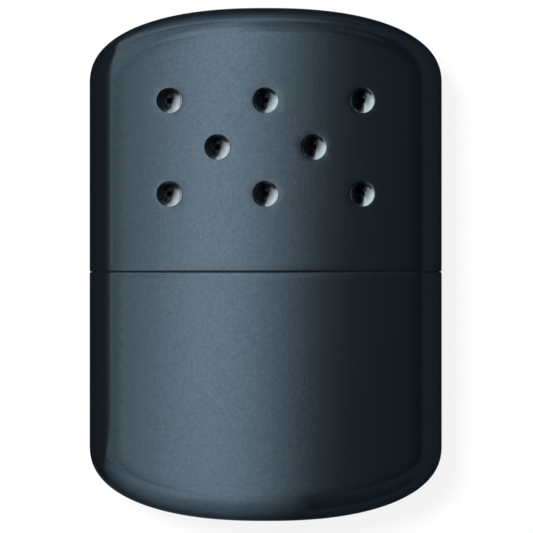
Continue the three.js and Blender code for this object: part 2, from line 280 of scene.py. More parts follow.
def bowl_material():
    """Bare metal in the vents, with painted shade by the opening and above and below the middle;
    the metal shows bright towards the rim.
    """
    made, tree, shader = nodes_of("bare_bowl")
    # The near-black colour is painted shade, laid where vent_reach is low
    painted_shade, metal = (0.018, 0.02, 0.023), (0.54, 0.64, 0.69)
    reach = add(tree, "ShaderNodeAttribute", attribute_name="vent_reach").outputs["Fac"]
    spread = calc(tree, "MULTIPLY_ADD", mottle(tree, 0.5 * MM), 0.12, reach)
    colour = between(tree, spread, painted_shade, metal, (0.26, 0.82))
    roughness = between(tree, spread, 0.23, 0.19, (0.2, 1.0))
    normal = bump(tree, mottle(tree, 0.25 * MM, detail=2.0), 0.08)
    surface(tree, shader, colour, roughness, normal, METAL)
    return made


def drawn_material(name, colours, shine, stretch):
    """Sheet metal with fine draw marks along the axis that is stretched least."""
    made, tree, shader = nodes_of(name)
    marks = mottle(tree, 0.35 * MM, 4.0, 0.6, stretch)
    colour = between(tree, mottle(tree, 2.4 * MM), *colours)
    surface(tree, shader, colour, between(tree, marks, *shine), bump(tree, marks, 0.08), METAL)
    return made


def heated_material():
    """Stainless sheet that has been hot: straw and blue tints over the steel, and
    matt black painted as shade on the broad faces, which keeps the view through the vents dark."""
    made, tree, shader = nodes_of("heated_steel")
    steel, straw, blue = (0.52, 0.51, 0.49), (0.5, 0.43, 0.32), (0.34, 0.33, 0.4)
    black = (0.02, 0.019, 0.018, 1)
    tints = ramp(tree, mottle(tree, 5 * MM, detail=2.0), (0.25, steel), (0.5, straw), (0.75, blue))
    painted_shade = painted_shade_share(tree)
    marks = mottle(tree, 0.3 * MM, 3.0, 0.6, (1, 0.12, 1))
    clean = between(tree, marks, 0.26, 0.42)
    # Painted shade: near-black over the heat tints on the broad faces
    colour = add(tree, "ShaderNodeMixRGB", Fac=painted_shade, Color1=tints, Color2=black).outputs["Color"]
    roughness = calc(tree, "MULTIPLY_ADD", painted_shade, 0.4, clean, clamp=True)
    surface(tree, shader, colour, roughness, bump(tree, marks, 0.1), METAL)
    return made


def painted_shade_share(tree):
    """Painted shade share: near 1 on the burner's front and back faces, 0 on its bent edges and
    ends.
    """
    away = calc(tree, "ABSOLUTE", calc(tree, "SUBTRACT", along(tree, "Z"), HALF_THICK))
    face = between(tree, away, 0.0, 1.0, (CAGE_HALF - 0.5 * MM, CAGE_HALF - 0.15 * MM))
    patchy = between(tree, mottle(tree, 1.2 * MM), 0.86, 1.0)
    return calc(tree, "MULTIPLY", face, patchy)


def fibre_material(name, colours, size, strength):
    """Matted fibre: pale strands over darker gaps, with a soft sheen."""
    made, tree, shader = nodes_of(name)
    strands = mottle(tree, size, 5.0, 0.7, (1, 0.3, 1))
    sheen = {"Sheen Weight": 0.35, "Sheen Roughness": 0.6}
    normal = bump(tree, strands, strength, size)
    surface(tree, shader, between(tree, strands, *colours), 1.0, normal, sheen)
    return made


def cloth_material():
    """Glass cloth: two sets of threads that cross, darkened by its catalyst."""
    made, tree, shader = nodes_of("catalyst_weave")
    pitch = 1.4 * MM
    wave = {"Scale": 1 / pitch / 2, "Distortion": 0.6}
    threads = [
        add(tree, "ShaderNodeTexWave", Vector=place(tree, stretch), **wave).outputs["Fac"]
        for stretch in ((1, 0, 0), (0, 1, 0))
    ]
    both = calc(tree, "MULTIPLY", *threads)
    colour = between(tree, both, (0.09, 0.085, 0.075), (0.2, 0.185, 0.165))
    surface(tree, shader, colour, 0.9, bump(tree, both, 0.5, 0.15 * MM), {})
    return made


cage_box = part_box("cage_wrap")
CAGE_HALF = (cage_box[1].z - cage_box[0].z) / 2
METAL = {"Metallic": 1.0}

COAT = varied_material(
    "slate_coat",
    colours=((0.052, 0.077, 0.099), (0.069, 0.097, 0.121)),
    shine=(0.165, 0.195),
    lumps=0.55 * MM,
    relief=(0.5 * MM, 0.5, 0.01 * MM),
    more={"Metallic": 0.93, "Specular Tint": (0.4, 0.42, 0.45, 1)},
)
BOWL = bowl_material()
# Painted shade: dark matt on the collar, in the gap between the two halves, where the seam's
# shadow falls
SEAM_SHADE = varied_material(
    "seam_painted_shade",
    colours=((0.006, 0.007, 0.008), (0.014, 0.015, 0.017)),
    shine=(0.75, 0.9),
    lumps=0.5 * MM,
    relief=(0.2 * MM, 0.2, 0.02 * MM),
    more={},
)
LINING, NICKEL, STEEL, SPRING = (
    drawn_material(*row) for row in (
        ("case_lining", ((0.42, 0.41, 0.39), (0.5, 0.49, 0.46)), (0.24, 0.36), (1, 0.1, 1)),
        ("bright_nickel", ((0.6, 0.585, 0.55), (0.66, 0.64, 0.6)), (0.13, 0.22), (1, 0.08, 1)),
        ("burner_steel", ((0.46, 0.45, 0.43), (0.54, 0.53, 0.5)), (0.26, 0.38), (0.15, 1, 1)),
        ("spring_steel", ((0.3, 0.29, 0.28), (0.38, 0.37, 0.35)), (0.22, 0.32), (1, 0.15, 1)),
    )
)
HEATED = heated_material()
WIRE = varied_material(
    "gauze_wire",
    colours=((0.26, 0.25, 0.23), (0.36, 0.35, 0.32)),
    shine=(0.32, 0.45),
    lumps=0.6 * MM,
    relief=(0.1 * MM, 0.1, 0.01 * MM),
    more=METAL,
)
CLOTH = cloth_material()
WOOL = fibre_material("glass_wool", ((0.5, 0.48, 0.42), (0.74, 0.72, 0.66)), 0.35 * MM, 0.7)
COTTON = fibre_material("cotton_wool", ((0.62, 0.6, 0.54), (0.88, 0.86, 0.8)), 0.5 * MM, 0.8)

# The case's shape, about its own middle


def face_height(x):
    """Half the case's thickness at a distance from its middle line."""
    return HALF_THICK - FACE_FALL * (x / HALF_WIDTH) ** 2


def stations(seam):
    """The outline's points and outward directions, from the seam on the right side
    up, over the end and down to the seam on the left side."""
    rise = SIDE_TOP - seam
    side = [(HALF_WIDTH, seam + rise * i / SIDE_ROWS, 1.0, 0.0) for i in range(SIDE_ROWS)]
    end = []
    reach = 2 / END_POWER
    for i in range(END_STATIONS + 1):
        angle = math.pi * i / END_STATIONS
        across = math.copysign(abs(math.cos(angle)) ** reach, math.cos(angle))
        up = abs(math.sin(angle)) ** reach
        nx = math.copysign(abs(across) ** (END_POWER - 1), across) / HALF_WIDTH
        ny = up ** (END_POWER - 1) / END_DEPTH
        size = math.hypot(nx, ny)
        end.append((HALF_WIDTH * across, SIDE_TOP + END_DEPTH * up, nx / size, ny / size))
    other = [(-x, y, -nx, ny) for x, y, nx, ny in reversed(side)]
    return side + end + other


def vent_profile():
    """Radius and depth from the opening outwards: the bowl, then the rolled rim."""
    inner = VENT_RIM - VENT_FILLET * math.sin(VENT_TILT)
    drop = VENT_FILLET * (1 - math.cos(VENT_TILT))
    sphere = inner / math.sin(VENT_TILT)
    first = math.asin(VENT_HOLE / sphere)
    profile = []
    for i in range(BOWL_RINGS):
        angle = first + (VENT_TILT - first) * i / BOWL_RINGS
        depth = sphere * (math.cos(VENT_TILT) - math.cos(angle)) - drop
        profile.append((sphere * math.sin(angle), depth))
    for i in range(FILLET_RINGS + 1):
        angle = VENT_TILT * (1 - i / FILLET_RINGS)
        radius = VENT_RIM - VENT_FILLET * math.sin(angle)
        profile.append((radius, -VENT_FILLET * (1 - math.cos(angle))))
    return profile


def face_points(border, seam, vents):
    """Points of one face inside its border, each with its drop below the face, and
    the number of the first point of each ring round a vent."""
    points = [(x, y, 0.0) for x, y in border]
    rings = []
    for cx, cy in vents:
        for radius, drop in vent_profile():
            rings.append(len(points))
            points += [(x, y, drop) for x, y in circle(cx, cy, radius, VENT_SIDES)]
    columns = int(2 * FACE_LIMIT / FACE_GRID)
    rows = int((HALF_LENGTH - seam) / FACE_GRID)
    hull = np.array(border)
    step = np.roll(hull, -1, axis=0) - hull
    inward = np.stack([-step[:, 1], step[:, 0]], 1) / np.linalg.norm(step, axis=1)[:, None]
    for row in range(1, rows):
        for column in range(1, columns):
            x = -FACE_LIMIT + 2 * FACE_LIMIT * (column + 0.5 * (row % 2)) / columns
            y = seam + FACE_GRID * row
            if (((np.array((x, y)) - hull) * inward).sum(1)).min() < GRID_CLEAR:
                continue
            if any(math.hypot(x - cx, y - cy) < VENT_RIM + GRID_CLEAR for cx, cy in vents):
                continue
            points.append((x, y, 0.0))
    return points, rings


def outer_skin(seam, vents):
    """The outside of one half of the case, on both faces, open at the seam and at
    the vents. Gives points, faces and which faces are bare."""
    start_line = seam + SEAM_RIM
    line = stations(start_line)
    count = len(line)
    points, faces = [], []
    for angle in arc(ROUND_STEPS, -ROUND_STEPS):
        inset = EDGE_INSET * (1 - math.cos(angle))
        for x, y, nx, ny in line:
            px = x - inset * nx
            points.append((px, y - inset * ny, face_height(px) * math.sin(angle)))
    for ring in range(2 * ROUND_STEPS):
        faces += band(ring * count, (ring + 1) * count, count)[:-1]
    bare = [False] * len(faces)
    for side, first in ((1, 2 * ROUND_STEPS * count), (-1, 0)):
        fill_face(points, faces, bare, side, range(first, first + count), start_line, vents)
    return points, faces, bare


def fill_face(points, faces, bare, side, edge, seam, vents):
    """Adds the triangles of one face inside its edge's points and a straight line
    along the seam, and leaves the vents' openings out."""
    splits = int(2 * FACE_LIMIT / FACE_GRID)
    (left, level), (right, _) = points[edge[-1]][:2], points[edge[0]][:2]
    seam_line = [(left + (right - left) * i / splits, level) for i in range(1, splits)]
    border = [points[i][:2] for i in edge] + seam_line
    flat, rings = face_points(border, seam, vents)
    fixed = [(i, (i + 1) % len(border)) for i in range(len(border))]
    for start in rings:
        fixed += [(start + i, start + (i + 1) % VENT_SIDES) for i in range(VENT_SIDES)]
    all_triangles, nearness = 0, 1e-9
    places = [Vector((x, y)) for x, y, _ in flat]
    cuts = delaunay_2d_cdt(places, fixed, [], all_triangles, nearness)
    made, _, triangles, origins = cuts[:4]
    numbers = []
    for position, sources in zip(made, origins):
        source = sources[0]
        if source < len(edge):
            numbers.append(edge[source])
            continue
        drop = flat[source][2]
        numbers.append(len(points))
        points.append((position.x, position.y, side * (face_height(position.x) + drop)))
    in_opening = VENT_HOLE * 0.97
    for triangle in triangles:
        mx = sum(made[i].x for i in triangle) / 3
        my = sum(made[i].y for i in triangle) / 3
        away = min((math.hypot(mx - cx, my - cy) for cx, cy in vents), default=1)
        if away < in_opening:
            continue
        order = triangle if side > 0 else tuple(reversed(triangle))
        faces.append(tuple(numbers[i] for i in order))
        bare.append(away < BARE_EDGE)


def vertex_normals(points, faces):
    normals = np.zeros_like(points)
    for face in faces:
        corner = points[list(face)]
        normal = np.cross(corner[1] - corner[0], corner[2] - corner[0])
        if len(face) == 4:
            normal = normal + np.cross(corner[2] - corner[0], corner[3] - corner[0])
        normals[list(face)] += normal
    return normals / np.maximum(np.linalg.norm(normals, axis=1), 1e-20)[:, None]


def thicken(points, faces, rim_at):
    """Turns an open skin into a sheet of metal: an inner skin at the wall's
    thickness, and a rounded rim round each opening. Gives the new points, the new
    faces, and a point on the border for each of the rims' faces."""
    points = np.array(points, float)
    normals = vertex_normals(points, faces)
    total = len(points)
    seen = {(a, b) for face in faces for a, b in zip(face, (*face[1:], face[0]))}
    border = [(a, b) for a, b in seen if (b, a) not in seen]
    outward = {}
    for a, b in border:
        step = points[b] - points[a]
        out = np.cross(step / np.linalg.norm(step), (normals[a] + normals[b]) / 2)
        for v in (a, b):
            outward[v] = outward.get(v, 0) + out
    new_faces = list(faces) + [tuple(total + i for i in reversed(face)) for face in faces]
    turns = arc(RIM_STEPS, 1)
    outer, inner = SHEET_WALL * RIM_SPLIT, SHEET_WALL * (1 - RIM_SPLIT)
    depths = [(t, outer * (1 - math.cos(t))) for t in turns]
    depths += [(t, SHEET_WALL - inner * (1 - math.cos(t))) for t in reversed(turns[:-1])]
    chain, extra = {}, []
    for v, out in outward.items():
        out = out / np.linalg.norm(out) * rim_at(points[v])
        chain[v] = [v]
        for turn, depth in depths:
            chain[v].append(2 * total + len(extra))
            extra.append(points[v] + out * math.sin(turn) - normals[v] * depth)
        chain[v].append(total + v)
    rims = []
    for a, b in border:
        for k in range(len(chain[a]) - 1):
            new_faces.append((chain[b][k], chain[a][k], chain[a][k + 1], chain[b][k + 1]))
            rims.append(a)
    made = np.vstack([points, points - SHEET_WALL * normals, np.array(extra)])
    return made, new_faces, rims


def half_case(node, seam, vents, side, body):
    """One drawn half of the case, as a sheet with rounded rims: coated outside, bare
    in the vents and lined inside. It is turned round for the side -1."""
    coated, bared, lined = 0, 1, 2
    at_seam = lambda point: point[1] < seam + 2 * SEAM_RIM
    points, faces, bare = outer_skin(seam, vents)
    rim_at = lambda point: SEAM_RIM if at_seam(point) else HOLE_RIM
    sheet, sheet_faces, rims = thicken(points, faces, rim_at)
    slots = [bared if is_bare else coated for is_bare in bare] + [lined] * len(faces)
    slots += [coated if at_seam(points[v]) else bared for v in rims]
    placed = sheet * np.array((side, side, 1)) + np.array(MIDDLE)
    made = mesh_object(node + "_visual", placed, sheet_faces)
    stands_for(made, node, "case_coat", body, COAT, BOWL, LINING)
    made.data.polygons.foreach_set("material_index", np.array(slots, np.int32))
    mark_reach(made, sheet, vents)


def mark_reach(made, points, vents):
    """Keeps on each point how far it lies from its vent's middle, as a share of the
    vent's radius, less the painted shade above and below the middle."""
    nowhere = (0, 1)
    offset = points[:, None, :2] - np.array(vents or [nowhere])[None]
    away = np.linalg.norm(offset, axis=2)
    nearest = away.argmin(axis=1)
    rows = np.arange(len(points))
    away = away[rows, nearest]
    across, up = (offset[rows, nearest] / np.maximum(away, 1e-9)[:, None]).T
    # Painted shade: bands above and below each vent's middle, taken off the reach
    down = -up * math.cos(SHADE_BELOW_LEAN) - across * math.sin(SHADE_BELOW_LEAN)
    rise = PAINTED_SHADE_ABOVE * np.clip(up, 0, 1) ** SHADE_ABOVE_POWER
    near = rise + PAINTED_SHADE_BELOW * np.clip(down, 0, 1) ** SHADE_BELOW_POWER
    reach = made.data.attributes.new("vent_reach", "FLOAT", "POINT")
    reach.data.foreach_set("value", np.clip(away / VENT_RIM - near, 0, 1).astype(np.float32))


half_case("cap_shell", SEAM_CAP, VENTS, 1, "cap")
half_case("body_shell", -SEAM_BODY, [], -1, "tank")

# Pieces inside the case


def case_loop(offset):
    """The case's section across its straight sides, moved inwards by an offset, as
    points of x and z at equal turns about the middle."""
    half = []
    for angle in arc(LOOP_EDGE_CUTS, -LOOP_EDGE_CUTS):
        x = FACE_LIMIT + (EDGE_INSET - offset) * math.cos(angle)
        half.append((x, (face_height(x) - offset) * math.sin(angle)))
    for i in range(1, LOOP_FACE_CUTS):
        x = FACE_LIMIT - 2 * FACE_LIMIT * i / LOOP_FACE_CUTS
        half.append((x, face_height(x) - offset))
    loop = np.array(half + [(-x, -z) for x, z in half])
    turns = np.unwrap(turns_of(loop))
    turns = np.append(turns, turns[0] + 2 * math.pi)
    loop = np.vstack([loop, loop[:1]])
    wanted = np.linspace(turns[0], turns[0] + 2 * math.pi, LOOP_POINTS, endpoint=False)
    return np.stack([np.interp(wanted, turns, loop[:, axis]) for axis in (0, 1)], 1)


def turns_of(loop):
    """The turn about the middle of each point of x and z, as if the case were round."""
    return np.arctan2(loop[:, 1] / HALF_THICK, loop[:, 0] / HALF_WIDTH)


def matched(loop, other):
    """The loop's outline with its points at the same turns as the other loop's."""
    turns = turns_of(loop)
    order = np.argsort(turns)
    turns, places = turns[order], loop[order]
    wide = np.concatenate([turns - 2 * math.pi, turns, turns + 2 * math.pi])
    places = np.vstack([places] * 3)
    wanted = turns_of(other)
    return np.stack([np.interp(wanted, wide, places[:, axis]) for axis in (0, 1)], 1)


def oval_loop(straight, half):
    """A stadium's outline as points of x and z, from its lower right, at even steps."""
    turn = math.pi * half
    whole = 2 * turn + 4 * straight
    points = []
    for i in range(LOOP_POINTS):
        run = whole * i / LOOP_POINTS
        side = 1 if run < whole / 2 else -1
        run = run % (whole / 2)
        if run < turn:
            angle = run / half - math.pi / 2
            x, z = straight + half * math.cos(angle), half * math.sin(angle)
        else:
            x, z = straight - (run - turn), half
        points.append((side * x, side * z))
    return np.array(points)


def oval_rings(straight, outline):
    return [(oval_loop(straight, half), level) for half, level in outline]


def sweep(name, rings, capped=False):
    """A surface through rings, each an array of x and z with its level along Y. It
    closes on its first ring, or else has a cap at either end."""
    count = len(rings[0][0])
    points = [(x, level, z) for loop, level in rings for x, z in loop]
    faces = []
    for ring in range(len(rings) - 1 if capped else len(rings)):
        faces += band(ring * count, (ring + 1) % len(rings) * count, count)
    if capped:
        faces.append(tuple(range(count - 1, -1, -1)))
        faces.append(tuple((len(rings) - 1) * count + i for i in range(count)))
    made = mesh_object(name, np.array(points) + np.array(MIDDLE), faces)
    return retouch(made, turn=True)


def crease(made):
    """Smooth shading that stops at sharp edges."""
    with bpy.context.temp_override(object=made, active_object=made, selected_objects=[made]):
        bpy.ops.object.shade_auto_smooth(angle=CREASE_ANGLE)
    return made


def section(a, b, low, high):
    return [(a, low), (a, high), (b, high), (b, low)]


def rounded(corners, radius):
    """A closed outline of (a, b) corners with each corner rounded, by no more than
    nearly half the shorter side beside it."""
    most = 0.45
    made = []
    for i, corner in enumerate(corners):
        here = Vector(corner)
        before = Vector(corners[i - 1]) - here
        after = Vector(corners[(i + 1) % len(corners)]) - here
        cut_off = min(radius, before.length * most, after.length * most)
        start, end = here + before.normalized() * cut_off, here + after.normalized() * cut_off
        for k in range(CORNER_STEPS + 1):
            t = k / CORNER_STEPS
            made.append(tuple((1 - t) ** 2 * start + 2 * t * (1 - t) * here + t ** 2 * end))
    return made


COLLAR_LOW, COLLAR_HIGH = (corner.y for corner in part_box("collar_sleeve"))
DECK_LOW, DECK_HIGH = (corner.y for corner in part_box("tank_deck"))
neck_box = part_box("filler_neck")
NECK_LOW, NECK_HIGH = neck_box[0].y, neck_box[1].y
SLEEVE_OFFSET = HALF_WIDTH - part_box("collar_sleeve")[1].x
DECK_OFFSET = HALF_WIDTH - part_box("tank_deck")[1].x
COLLAR_WALL = 0.4 * MM
COLLAR_ROUND = 0.14 * MM
DECK_WALL = 0.5 * MM
DECK_FOOT = 0.12 * MM
DECK_LIP = 0.1 * MM
DECK_BEND = 0.35 * MM
DECK_RINGS = 4
NECK_WALL = 0.4 * MM
NECK_FLANGE = 1.2 * MM
NECK_ROUND = 0.18 * MM
NECK_HALF = (neck_box[1].z - neck_box[0].z) / 2 - NECK_FLANGE
NECK_STRAIGHT = neck_box[1].x - NECK_FLANGE - NECK_HALF
FLANGE_WALL = 0.4 * MM
SEAT_GAP = 0.1 * MM
DECK_TOP = NECK_HIGH - 5.5 * MM

# The bead in the seam, dark with painted shade: its clearance on either side, how far
# # in from the case's outline its crest lies, how far its foot stands off the collar,
# # and the crest's share of its width. The collar is painted dark as shade a little
# # below and above it too.
BEAD_CLEAR = 0.01 * MM
BEAD_CREST = 0.12 * MM
BEAD_FOOT = 0.02 * MM
BEAD_TAPER = 0.8
DARK_BELOW = 0.5 * MM
DARK_ABOVE = 0.35 * MM


def collar():
    """The bright sleeve that the cap slides on. A bead painted dark as shade runs round
    it, which all but fills the seam between the two halves."""
    inner = SLEEVE_OFFSET + COLLAR_WALL
    outline = rounded(section(SLEEVE_OFFSET, inner, COLLAR_LOW, COLLAR_HIGH), COLLAR_ROUND)
    bead = SEAM_GAP / 2 - BEAD_CLEAR
    foot = SLEEVE_OFFSET - BEAD_FOOT
    low, high = SEAM_LEVEL - DARK_BELOW, SEAM_LEVEL + DARK_ABOVE
    after_first_corner = CORNER_STEPS + 1
    outline[after_first_corner:after_first_corner] = [
        (SLEEVE_OFFSET, low),
        (foot, SEAM_LEVEL - bead),
        (BEAD_CREST, SEAM_LEVEL - bead * BEAD_TAPER),
        (BEAD_CREST, SEAM_LEVEL + bead * BEAD_TAPER),
        (foot, SEAM_LEVEL + bead),
        (SLEEVE_OFFSET, high),
    ]
    made = sweep("collar_sleeve_visual", [(case_loop(offset), level) for offset, level in outline])
    stands_for(made, "collar_sleeve", "bright_nickel", "tank", NICKEL, SEAM_SHADE)
    # Painted shade: the faces round the seam take the dark material
    for face in made.data.polygons:
        middle = face.center - MIDDLE
        if low < middle.y < high and is_outside(face, middle):
            face.material_index = 1


def is_outside(face, middle):
    """Whether a face looks away from the middle line, or along it as the bead's
    sides do."""
    outwards = face.normal.x * middle.x + face.normal.z * middle.z
    return outwards > -0.1 * middle.length or abs(face.normal.y) > 0.7


def deck():
    """The tray that closes the tank, with its rim turned up inside the collar."""
    inner = DECK_OFFSET + DECK_WALL
    profile = [
        (DECK_OFFSET + DECK_FOOT, DECK_LOW),
        (DECK_OFFSET, DECK_LOW + DECK_FOOT),
        (DECK_OFFSET, DECK_HIGH - DECK_LIP),
        (DECK_OFFSET + DECK_LIP, DECK_HIGH),
        (inner - DECK_LIP, DECK_HIGH),
        (inner, DECK_HIGH - DECK_LIP),
        (inner, DECK_TOP + DECK_BEND),
        (inner + DECK_LIP, DECK_TOP + DECK_LIP),
        (inner + DECK_BEND, DECK_TOP),
    ]
    wall = [(case_loop(offset), level) for offset, level in profile]
    outer = wall[-1][0]
    mouth = matched(oval_loop(NECK_STRAIGHT, NECK_HALF + SEAT_GAP), outer)
    inwards = [outer + (mouth - outer) * (i / DECK_RINGS) for i in range(DECK_RINGS + 1)]
    upper = [(loop, DECK_TOP) for loop in inwards[1:]]
    under = [(loop, DECK_LOW) for loop in reversed(inwards)]
    made = crease(sweep("tank_deck_visual", wall + upper + under))
    stands_for(made, "tank_deck", "bright_nickel", "tank", NICKEL)


def neck():
    """The filler neck: a tube with a flange on the deck and a rolled lip."""
    inner = NECK_HALF - NECK_WALL
    flange = NECK_HALF + NECK_FLANGE
    low, high = DECK_TOP + SEAT_GAP, DECK_TOP + SEAT_GAP + FLANGE_WALL
    corners = [
        (inner, NECK_LOW), (NECK_HALF, NECK_LOW), (NECK_HALF, low), (flange, low),
        (flange, high), (NECK_HALF, high), (NECK_HALF, NECK_HIGH), (inner, NECK_HIGH),
    ]
    made = sweep("filler_neck_visual", oval_rings(NECK_STRAIGHT, rounded(corners, NECK_ROUND)))
    stands_for(made, "filler_neck", "bright_nickel", "tank", NICKEL)


collar()
deck()
neck()

# The burner

skirt_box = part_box("burner_skirt")
SKIRT_HALF = (skirt_box[1].z - skirt_box[0].z) / 2
SKIRT_WALL = 0.35 * MM
SKIRT_INNER = SKIRT_HALF - SKIRT_WALL
SKIRT_ROUND = 0.12 * MM
BURNER_STRAIGHT = skirt_box[1].x - SKIRT_HALF
LEDGE_WIDTH = 1.3 * MM
LEDGE_LOW = NECK_HIGH + SEAT_GAP
LEDGE_HIGH = LEDGE_LOW + SKIRT_WALL

CAGE_WALL = 0.3 * MM
CAGE_BEND = 1.6 * MM
BEND_STEPS = 6
SLOT_WIDTH = 1.5 * MM
SLOT_HEIGHT = 3.2 * MM
SLOT_ROW_GAP = 1.1 * MM
SLOT_FOOT = 2.9 * MM
TOP_SLOT = 3.6 * MM
SLOT_ROWS = 2
SLOT_COLUMNS = 8
SLOT_END_STEPS = 8
END_CUT_DEPTH = 3 * MM
CUT_DEPTH = SKIRT_HALF * 1.5

pin_low, pin_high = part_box("cross_pin_right")
PIN_X = pin_low.x / 2 + pin_high.x / 2
PIN_Y = pin_low.y / 2 + pin_high.y / 2
PIN_END = (pin_high.z - pin_low.z) / 2
PIN_HEAD = (pin_high.x - pin_low.x) / 2
PIN_RADIUS = 0.45 * MM
PIN_HOLE = PIN_RADIUS * 1.15
PIN_HEAD_WALL = 0.3 * MM
PIN_DOME = 0.8
PIN_STEPS = 5
PIN_SIDES = 24

GAUZE_PITCH = 0.62 * MM
WIRE_RADIUS = 0.075 * MM
WIRE_SIDES = 4
GAUZE_RIM = 0.8 * MM
GAUZE_RIM_LAP = 0.1 * MM
GAUZE_RIM_GAP = 0.02 * MM
GAUZE_RIM_ROUND = 0.08 * MM


def skirt():
    """The burner's lower ring, whose inward ledge rests on the neck."""
    ledge = SKIRT_INNER - LEDGE_WIDTH
    foot, top = skirt_box[0].y, skirt_box[1].y
    corners = [
        (SKIRT_HALF, foot), (SKIRT_HALF, top), (SKIRT_INNER, top), (SKIRT_INNER, LEDGE_HIGH),
        (ledge, LEDGE_HIGH), (ledge, LEDGE_LOW), (SKIRT_INNER, LEDGE_LOW), (SKIRT_INNER, foot),
    ]
    outline = rounded(corners, SKIRT_ROUND)
    made = sweep("burner_skirt_visual", oval_rings(BURNER_STRAIGHT, outline))
    stands_for(made, "burner_skirt", "bare_steel", "burner", STEEL)


def cover_rings(half, bend, low, high):
    """Rings of an oval cover, from its foot up and over its bend to near its middle."""
    outline = [(half, low)]
    for angle in arc(BEND_STEPS):
        outline.append((half - bend * (1 - math.cos(angle)), high - bend * (1 - math.sin(angle))))
    outline += [((half - bend) * share, high) for share in (0.6, 0.25)]
    return oval_rings(BURNER_STRAIGHT, outline)


def cover(name):
    """The oval sheet cover that the cage's parts are cut from, open at its foot."""
    foot, top = cage_box[0].y, cage_box[1].y
    outside = cover_rings(CAGE_HALF, CAGE_BEND, foot, top)
    inside = cover_rings(CAGE_HALF - CAGE_WALL, CAGE_BEND - CAGE_WALL, foot, top - CAGE_WALL)
    return sweep(name, inside[::-1] + outside, capped=True)


def apply_modifiers(made):
    """Keeps the shape that the modifiers give, without the modifiers."""
    shown = made.evaluated_get(bpy.context.evaluated_depsgraph_get())
    mesh = bpy.data.meshes.new_from_object(shown)
    made.modifiers.clear()
    made.data = mesh


def cut_slots(made, slots):
    """Cuts slots with round ends. Each has its middle's x and y, half its width and
    length, its own direction, the cut's direction and the cut's depth."""
    shape = bmesh.new()
    for x, y, half_width, half_length, lengthways, through, depth in slots:
        middle = Vector((x, y, 0)) + MIDDLE
        side = lengthways.cross(through)
        outline = []
        for end in (1, -1):
            for i in range(SLOT_END_STEPS + 1):
                angle = math.pi * i / SLOT_END_STEPS
                at = lengthways * end * (half_length - half_width + half_width * math.sin(angle))
                outline.append(middle + at + side * end * half_width * math.cos(angle))
        near = [shape.verts.new(p - through * depth) for p in outline]
        far = [shape.verts.new(p + through * depth) for p in outline]
        shape.faces.new(near)
        shape.faces.new(list(reversed(far)))
        for i in range(len(near)):
            j = (i + 1) % len(near)
            shape.faces.new((near[j], near[i], far[i], far[j]))
    bmesh.ops.recalc_face_normals(shape, faces=shape.faces)
    mesh = bpy.data.meshes.new("cutter")
    shape.to_mesh(mesh)
    shape.free()
    cutter = linked("cutter", mesh)
    tool = made.modifiers.new("cut", "BOOLEAN")
    tool.operation = "DIFFERENCE"
    tool.object = cutter
    tool.solver = "EXACT"
    apply_modifiers(made)
    bpy.data.objects.remove(cutter)


def keep_part(made, low, high):
    """Keeps what lies between two values of x, and closes the cuts."""
    shape = bmesh.new()
    shape.from_mesh(made.data)
    for value, side in ((low, -1), (high, 1)):
        everything = shape.verts[:] + shape.edges[:] + shape.faces[:]
        bmesh.ops.bisect_plane(
            shape, geom=everything, plane_co=(value, 0, 0), plane_no=(side, 0, 0), clear_outer=True
        )
        rim = [edge for edge in shape.edges if edge.is_boundary]
        bmesh.ops.holes_fill(shape, edges=rim)
    shape.to_mesh(made.data)
    shape.free()


def cage():
    """The slotted strip bent over the burner, and its two rounded end plates."""
    foot, top = cage_box[0].y, cage_box[1].y
    pitch = 2 * BURNER_STRAIGHT / SLOT_COLUMNS
    up, out, across = Vector((0, 1, 0)), Vector((0, 0, 1)), Vector((1, 0, 0))
    slots = []
    for column in range(SLOT_COLUMNS):
        x = (column + 0.5) * pitch - BURNER_STRAIGHT
        for row in range(SLOT_ROWS):
            y = foot + SLOT_FOOT + row * (SLOT_HEIGHT + SLOT_ROW_GAP) + SLOT_HEIGHT / 2
            slots.append((x, y, SLOT_WIDTH / 2, SLOT_HEIGHT / 2, up, out, CUT_DEPTH))
        slots.append((x, top, SLOT_WIDTH / 2, TOP_SLOT / 2, out, up, CAGE_BEND))
    for side in (1, -1):
        slots.append((side * PIN_X, PIN_Y, PIN_HOLE, PIN_HOLE, up, out, CUT_DEPTH))

    wrap = cover("cage_wrap_visual")
    keep_part(wrap, cage_box[0].x, cage_box[1].x)
    cut_slots(wrap, slots)
    stands_for(crease(wrap), "cage_wrap", "bare_steel", "burner", HEATED)

    end_slot = 2 * SLOT_HEIGHT + SLOT_ROW_GAP
    middle_y = foot + SLOT_FOOT + end_slot / 2
    past = MM
    for side, name in ((-1, "left"), (1, "right")):
        plate = cover(f"cage_end_{name}_visual")
        low, high = (corner.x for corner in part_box(f"cage_end_{name}"))
        keep_part(plate, low - past if side < 0 else low, high + past if side > 0 else high)
        x = side * (BURNER_STRAIGHT + CAGE_HALF)
        cut_slots(plate, [(x, middle_y, SLOT_WIDTH / 2, end_slot / 2, up, across, END_CUT_DEPTH)])
        stands_for(crease(plate), f"cage_end_{name}", "bare_steel", "burner", HEATED)


def pins():
    """Cross pins with low domed heads."""
    under_head = PIN_END - PIN_HEAD_WALL
    profile = [(0.0, PIN_END)]
    for angle in arc(PIN_STEPS, 1):
        height = PIN_END - PIN_HEAD_WALL * PIN_DOME * (1 - math.cos(angle))
        profile.append((PIN_HEAD * math.sin(angle), height))
    profile += [(PIN_HEAD, under_head), (PIN_RADIUS, under_head)]
    profile += [(radius, -height) for radius, height in reversed(profile)]
    for side, name in ((-1, "left"), (1, "right")):
        points, faces = stack(side * PIN_X, PIN_Y, profile, PIN_SIDES)
        made = mesh_object(f"cross_pin_{name}_visual", np.array(points) + np.array(MIDDLE), faces)
        retouch(made, weld=True, turn=True)
        stands_for(crease(made), f"cross_pin_{name}", "bare_steel", "burner", STEEL)


